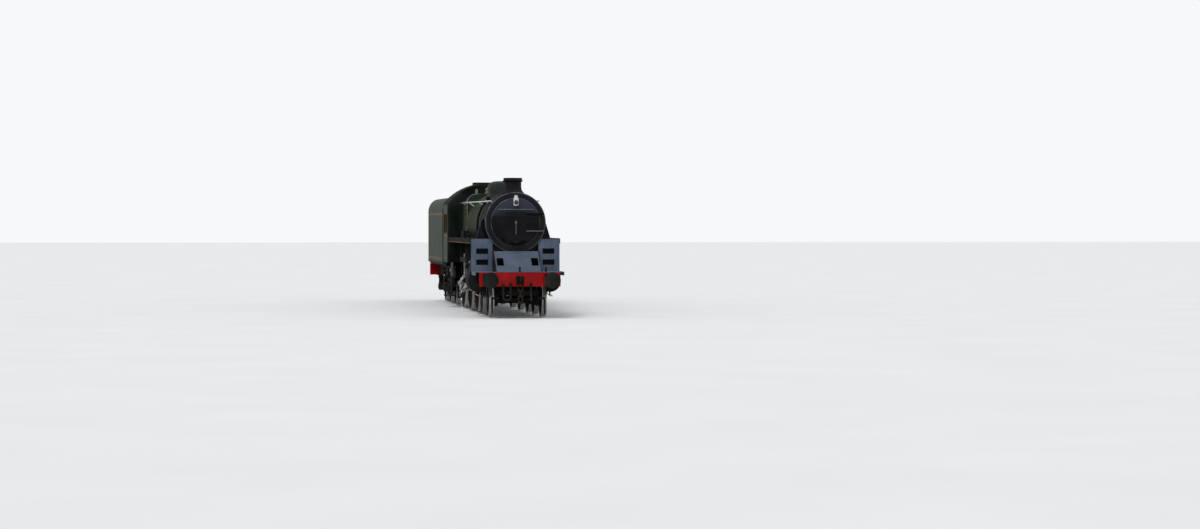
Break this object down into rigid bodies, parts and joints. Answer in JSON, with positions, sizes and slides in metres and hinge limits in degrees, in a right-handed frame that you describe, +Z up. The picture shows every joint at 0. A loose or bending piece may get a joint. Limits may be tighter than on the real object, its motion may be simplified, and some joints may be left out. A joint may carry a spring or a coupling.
{
  "type": "steam locomotive with tender",
  "caption": "Steam locomotive with a leading bogie, coupled driving wheels, tapered boiler, enclosed cab and its own tender; the smokebox door opens.",
  "frame": {"origin": "on the floor under the wheel flanges, at the middle of the length over the buffers and of the width", "axes": "+X forwards, the way the smokebox faces; +Y to the locomotive's left; +Z up"},
  "size_m": [19.08, 2.6598, 3.984],
  "materials": {
    "green_paint": "gloss",
    "smokebox_black": "satin",
    "frame_black": "satin",
    "front_grey": "satin",
    "red_paint": "gloss",
    "wheel_black": "satin",
    "bright_steel": "satin",
    "dark_steel": "satin",
    "roof_black": "matt",
    "plate_black": "satin",
    "lamp_white": "gloss",
    "brass": "polished",
    "boards": "oiled",
    "clear_glass": "clear",
    "rubber": "matt"
  },
  "bodies": {
    "engine": {"main_frames": "frame_black", "front_beam": "red_paint", "front_buffers": "frame_black", "front_coupling": "dark_steel", "front_hoses": "rubber", "front_casing": "front_grey", "step_plates": "front_grey", "cylinders": "frame_black", "steam_pipes": "smokebox_black", "slide_bars": "bright_steel", "motion_brackets": "frame_black", "crossheads": "bright_steel", "connecting_rods": "bright_steel", "valve_gear": "bright_steel", "reversing_gear": "frame_black", "driver_axleboxes": "frame_black", "engine_brakes": "frame_black", "smokebox_saddle": "smokebox_black", "smokebox": "smokebox_black", "chimney": "smokebox_black", "boiler_barrel": "green_paint", "firebox": "green_paint", "dome": "green_paint", "boiler_mountings": "brass", "handrails": "bright_steel", "ashpan": "frame_black", "running_plates": "frame_black", "cab_sides": "green_paint", "cab_front": "green_paint", "cab_roof": "roof_black", "cab_floor": "boards", "cab_windows": "clear_glass", "cab_fittings": "dark_steel", "engine_steps": "frame_black", "injectors": "brass"},
    "smokebox_door": {"smokebox_door": "smokebox_black", "door_fittings": "bright_steel", "door_plates": "plate_black", "head_lamp": "lamp_white"},
    "bogie": {"bogie_frame": "frame_black", "bogie_axleboxes": "frame_black"},
    "bogie_wheels_front": {"bogie_wheelset_front": "wheel_black"},
    "bogie_wheels_rear": {"bogie_wheelset_rear": "wheel_black"},
    "driving_wheels_1": {"driving_wheelset_1": "wheel_black"},
    "driving_wheels_2": {"driving_wheelset_2": "wheel_black"},
    "driving_wheels_3": {"driving_wheelset_3": "wheel_black"},
    "coupling_rods_left": {"coupling_rods_left": "bright_steel"},
    "coupling_rods_right": {"coupling_rods_right": "bright_steel"},
    "tender": {"tender_frames": "frame_black", "tender_bed": "frame_black", "tender_tank": "green_paint", "tender_axleboxes": "frame_black", "tender_beam": "frame_black", "tender_buffers": "frame_black", "tender_coupling": "dark_steel", "tender_brakes": "frame_black", "tender_steps": "frame_black"},
    "tender_wheels_1": {"tender_wheelset_1": "wheel_black"},
    "tender_wheels_2": {"tender_wheelset_2": "wheel_black"},
    "tender_wheels_3": {"tender_wheelset_3": "wheel_black"}
  },
  "joints": [
    {"name": "smokebox_door_swing", "type": "hinge", "parent": "engine", "child": "smokebox_door", "pos_m": [7.858, 0.79, 2.697], "axis": [0, 0, 1], "range_deg": [0, 115]},
    {"name": "bogie_turn", "type": "hinge", "parent": "engine", "child": "bogie", "pos_m": [7.13, 0, 0.93], "axis": [0, 0, 1], "range_deg": [-3, 3]},
    {"name": "bogie_wheels_front_roll", "type": "hinge", "parent": "bogie", "child": "bogie_wheels_front", "pos_m": [8.0825, 0, 0.487], "axis": [0, 1, 0], "continuous": true},
    {"name": "bogie_wheels_rear_roll", "type": "hinge", "parent": "bogie", "child": "bogie_wheels_rear", "pos_m": [6.1775, 0, 0.487], "axis": [0, 1, 0], "continuous": true},
    {"name": "driving_wheels_1_roll", "type": "hinge", "parent": "engine", "child": "driving_wheels_1", "pos_m": [4.6005, 0, 0.97], "axis": [0, 1, 0], "continuous": true},
    {"name": "driving_wheels_2_roll", "type": "hinge", "parent": "engine", "child": "driving_wheels_2", "pos_m": [2.3145, 0, 0.97], "axis": [0, 1, 0], "continuous": true},
    {"name": "driving_wheels_3_roll", "type": "hinge", "parent": "engine", "child": "driving_wheels_3", "pos_m": [-0.1235, 0, 0.97], "axis": [0, 1, 0], "continuous": true},
    {"name": "coupling_rods_left_pin", "type": "hinge", "parent": "driving_wheels_2", "child": "coupling_rods_left", "pos_m": [2.56623, 0.877, 0.71827], "axis": [0, 1, 0], "continuous": true},
    {"name": "coupling_rods_right_pin", "type": "hinge", "parent": "driving_wheels_2", "child": "coupling_rods_right", "pos_m": [2.06277, -0.877, 0.71827], "axis": [0, 1, 0], "continuous": true},
    {"name": "tender_turn", "type": "hinge", "parent": "engine", "child": "tender", "pos_m": [-1.45, 0, 1.08], "axis": [0, 0, 1], "range_deg": [-4, 4]},
    {"name": "tender_wheels_1_roll", "type": "hinge", "parent": "tender", "child": "tender_wheels_1", "pos_m": [-3.32, 0, 0.532], "axis": [0, 1, 0], "continuous": true},
    {"name": "tender_wheels_2_roll", "type": "hinge", "parent": "tender", "child": "tender_wheels_2", "pos_m": [-5.454, 0, 0.532], "axis": [0, 1, 0], "continuous": true},
    {"name": "tender_wheels_3_roll", "type": "hinge", "parent": "tender", "child": "tender_wheels_3", "pos_m": [-7.588, 0, 0.532], "axis": [0, 1, 0], "continuous": true}
  ],
  "couplings": [
    {"joint": "driving_wheels_1_roll", "follows": "driving_wheels_2_roll", "ratio": 1},
    {"joint": "driving_wheels_3_roll", "follows": "driving_wheels_2_roll", "ratio": 1},
    {"joint": "coupling_rods_left_pin", "follows": "driving_wheels_2_roll", "ratio": -1},
    {"joint": "coupling_rods_right_pin", "follows": "driving_wheels_2_roll", "ratio": -1}
  ]
}
